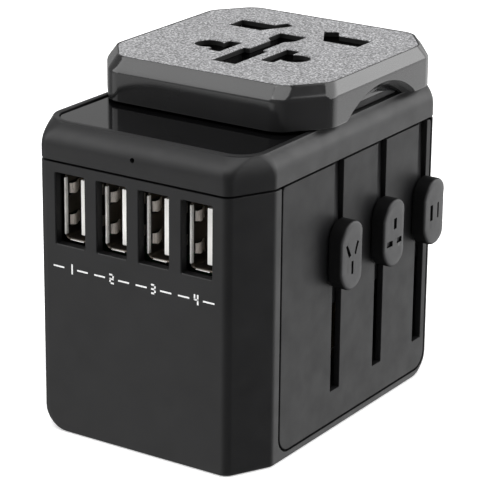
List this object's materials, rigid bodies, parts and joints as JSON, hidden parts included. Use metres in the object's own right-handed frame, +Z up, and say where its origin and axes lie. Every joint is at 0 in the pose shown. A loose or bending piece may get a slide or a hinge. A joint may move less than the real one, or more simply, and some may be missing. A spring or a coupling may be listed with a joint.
{
  "type": "universal travel adapter",
  "caption": "Compact travel plug adapter with upright USB-A ports, side sliders that push out plug pins for other countries, and a lift-off universal socket head.",
  "frame": {"origin": "centre of the base's footprint, on the plane it stands on", "axes": "+X towards the side with the slider knobs, +Y from the USB ports to the back, +Z up towards the socket head"},
  "size_m": [0.0548, 0.072, 0.0697],
  "materials": {
    "black_matte": "fine satin texture",
    "black_gloss": "high gloss",
    "speckled_grey": "fine speckled spark texture",
    "usb_steel": "nickel plated, bright",
    "tongue_white": "smooth moulded",
    "board_green": "solder mask",
    "amber_tape": "polyester tape",
    "sleeve_blue": "shrink sleeve",
    "clear_lens": "clear",
    "ceramic_white": "glazed ceramic",
    "screw_steel": "zinc plated",
    "pin_nickel": "nickel plated",
    "brass": "plain"
  },
  "bodies": {
    "base": {"lower_casing": "black_matte", "upper_casing": "black_matte", "side_panel": "black_matte", "top_plate": "black_gloss", "pin_plate": "black_matte", "inner_frame": "black_matte", "usb_shell_1": "usb_steel", "usb_shell_2": "usb_steel", "usb_shell_3": "usb_steel", "usb_shell_4": "usb_steel", "usb_tongue_1": "tongue_white", "usb_tongue_2": "tongue_white", "usb_tongue_3": "tongue_white", "usb_tongue_4": "tongue_white", "usb_contacts": "brass", "usb_board": "board_green", "transformer": "amber_tape", "capacitor_large": "sleeve_blue", "capacitor_small": "sleeve_blue", "choke": "black_matte", "control_chip": "black_matte", "indicator_led": "clear_lens", "live_sleeve": "brass", "neutral_sleeve": "brass", "live_busbar": "brass", "neutral_busbar": "brass", "fuse": "ceramic_white", "fuse_clips": "brass", "casing_screws": "screw_steel"},
    "head": {"head_shell": "black_gloss", "socket_face": "speckled_grey", "head_base": "black_matte", "eu_pin_live": "pin_nickel", "eu_pin_neutral": "pin_nickel", "head_contact_live": "brass", "head_contact_neutral": "brass", "head_screws": "screw_steel"},
    "aus_slider": {"aus_knob": "black_matte", "aus_carriage": "black_matte", "aus_blade_live": "brass", "aus_blade_neutral": "brass"},
    "uk_slider": {"uk_knob": "black_matte", "uk_carriage": "black_matte", "uk_pin_live": "brass", "uk_pin_neutral": "brass", "uk_earth_pin": "black_matte"},
    "us_slider": {"us_knob": "black_matte", "us_carriage": "black_matte", "us_blade_live": "brass", "us_blade_neutral": "brass"}
  },
  "joints": [
    {"name": "head_lift", "type": "slide", "parent": "base", "child": "head", "axis": [0, 0, 1], "range_m": [0, 0.025]},
    {"name": "aus_slide", "type": "slide", "parent": "base", "child": "aus_slider", "axis": [0, 0, -1], "range_m": [0, 0.02]},
    {"name": "uk_slide", "type": "slide", "parent": "base", "child": "uk_slider", "axis": [0, 0, -1], "range_m": [0, 0.02]},
    {"name": "us_slide", "type": "slide", "parent": "base", "child": "us_slider", "axis": [0, 0, -1], "range_m": [0, 0.02]}
  ]
}
